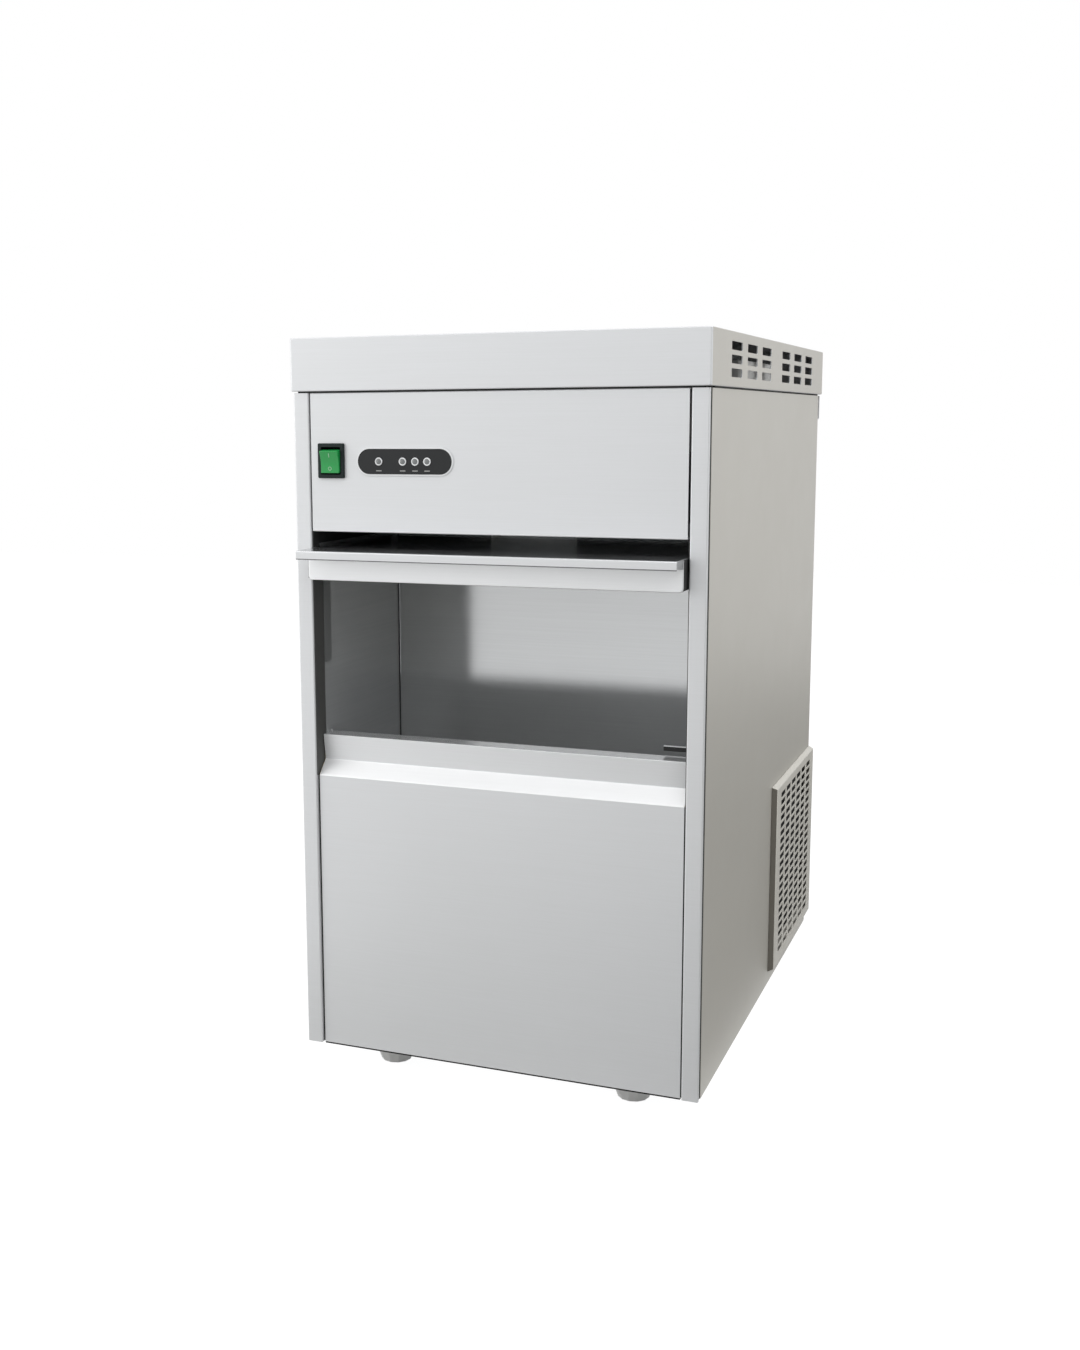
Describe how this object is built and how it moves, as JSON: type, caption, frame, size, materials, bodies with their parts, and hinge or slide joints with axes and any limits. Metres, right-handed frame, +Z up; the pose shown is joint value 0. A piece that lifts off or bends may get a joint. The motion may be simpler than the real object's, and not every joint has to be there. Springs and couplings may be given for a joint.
{
  "type": "flake ice maker",
  "caption": "Counter-top flake ice maker with an open-fronted ice bin, a door stored level over it, a vented cap, a lit rocker switch, a louvred side and levelling feet.",
  "frame": {"origin": "middle of the footprint, on the floor under the levelling feet", "axes": "+X to the right as seen from the front, +Y to the rear, +Z up; the bin opens to -Y"},
  "size_m": [0.392, 0.5832, 0.685],
  "materials": {
    "satin_steel": "satin",
    "brushed_liner": "satin",
    "galvanised_steel": "matte",
    "black_plastic": "satin",
    "display_plastic": "satin",
    "green_lens": "gloss",
    "lamp_lens": "gloss",
    "white_plastic": "satin",
    "grille_plastic": "satin",
    "grey_plastic": "satin",
    "foam": "matte",
    "white_foam": "matte",
    "black_paint": "satin",
    "bare_aluminium": "satin",
    "copper": "satin",
    "clear_hose": "satin"
  },
  "bodies": {
    "cabinet": {"top_cap": "satin_steel", "left_side_panel": "satin_steel", "right_side_panel": "satin_steel", "rear_panel": "satin_steel", "left_pillar": "satin_steel", "right_pillar": "satin_steel", "control_panel": "satin_steel", "lower_front_panel": "satin_steel", "bin_liner": "brushed_liner", "evaporator_barrel": "brushed_liner", "base_pan": "galvanised_steel", "bin_ceiling": "galvanised_steel", "divider_panel": "galvanised_steel", "top_deck": "galvanised_steel", "fan_shroud": "galvanised_steel", "switch_bezel": "black_plastic", "power_inlet": "black_plastic", "display_bezel": "display_plastic", "indicator_lens_1": "lamp_lens", "indicator_lens_2": "lamp_lens", "indicator_lens_3": "lamp_lens", "indicator_lens_4": "lamp_lens", "ice_chute": "white_plastic", "outlet_head": "white_plastic", "water_reservoir": "white_plastic", "inlet_valve": "white_plastic", "left_grille": "grille_plastic", "right_grille": "grille_plastic", "left_door_guide": "grey_plastic", "right_door_guide": "grey_plastic", "bin_probe": "grey_plastic", "control_box": "grey_plastic", "bin_insulation": "foam", "evaporator_jacket": "white_foam", "compressor": "black_paint", "gear_motor": "black_paint", "fan_motor": "black_paint", "condenser": "bare_aluminium", "discharge_line": "copper", "suction_line": "copper", "liquid_line": "copper", "filter_drier": "copper", "fill_tube": "clear_hose", "supply_tube": "clear_hose", "drain_hose": "clear_hose"},
    "door_carriage": {"door_axle": "brushed_liner"},
    "door": {"door_skin": "satin_steel", "door_inner_pan": "satin_steel", "door_core": "foam", "door_hinge_bar": "grey_plastic"},
    "switch_key": {"switch_rocker": "green_lens"},
    "flap": {"chute_flap": "brushed_liner"},
    "auger_drive": {"auger": "brushed_liner", "drive_coupling": "bare_aluminium"},
    "fan": {"fan_blade": "black_plastic"},
    "float": {"float_arm": "black_plastic"},
    "front_left_leveller": {"front_left_foot": "grey_plastic"},
    "front_right_leveller": {"front_right_foot": "grey_plastic"},
    "rear_left_leveller": {"rear_left_foot": "grey_plastic"},
    "rear_right_leveller": {"rear_right_foot": "grey_plastic"}
  },
  "joints": [
    {"name": "door_slide", "type": "slide", "parent": "cabinet", "child": "door_carriage", "axis": [0, -0.9959, 0.0905], "range_m": [0, 0.1435]},
    {"name": "door_tilt", "type": "hinge", "parent": "door_carriage", "child": "door", "pos_m": [0, -0.09765, 0.484], "axis": [1, 0, 0], "range_deg": [0, 90]},
    {"name": "switch_rock", "type": "hinge", "parent": "cabinet", "child": "switch_key", "pos_m": [-0.1527, -0.25665, 0.5765], "axis": [1, 0, 0], "range_deg": [-18, 0]},
    {"name": "flap_swing", "type": "hinge", "parent": "cabinet", "child": "flap", "pos_m": [-0.03, -0.04415, 0.5035], "axis": [1, 0, 0], "range_deg": [-30, 0]},
    {"name": "auger_spin", "type": "hinge", "parent": "cabinet", "child": "auger_drive", "pos_m": [-0.03, 0.03345, 0.2706], "axis": [0, 0, 1], "continuous": true},
    {"name": "fan_spin", "type": "hinge", "parent": "cabinet", "child": "fan", "pos_m": [0.1157, 0.16235, 0.1263], "axis": [1, 0, 0], "continuous": true},
    {"name": "float_swing", "type": "hinge", "parent": "cabinet", "child": "float", "pos_m": [0.138, -0.04115, 0.6488], "axis": [1, 0, 0], "range_deg": [-25, 3]},
    {"name": "front_left_foot_turn", "type": "hinge", "parent": "cabinet", "child": "front_left_leveller", "pos_m": [-0.119, -0.20965, 0], "axis": [0, 0, 1], "continuous": true},
    {"name": "front_right_foot_turn", "type": "hinge", "parent": "cabinet", "child": "front_right_leveller", "pos_m": [0.119, -0.20965, 0], "axis": [0, 0, 1], "continuous": true},
    {"name": "rear_left_foot_turn", "type": "hinge", "parent": "cabinet", "child": "rear_left_leveller", "pos_m": [-0.119, 0.22235, 0], "axis": [0, 0, 1], "continuous": true},
    {"name": "rear_right_foot_turn", "type": "hinge", "parent": "cabinet", "child": "rear_right_leveller", "pos_m": [0.119, 0.22235, 0], "axis": [0, 0, 1], "continuous": true}
  ],
  "couplings": [
    {"joint": "door_tilt", "follows": "door_slide", "rad_per_m": 10.94}
  ]
}
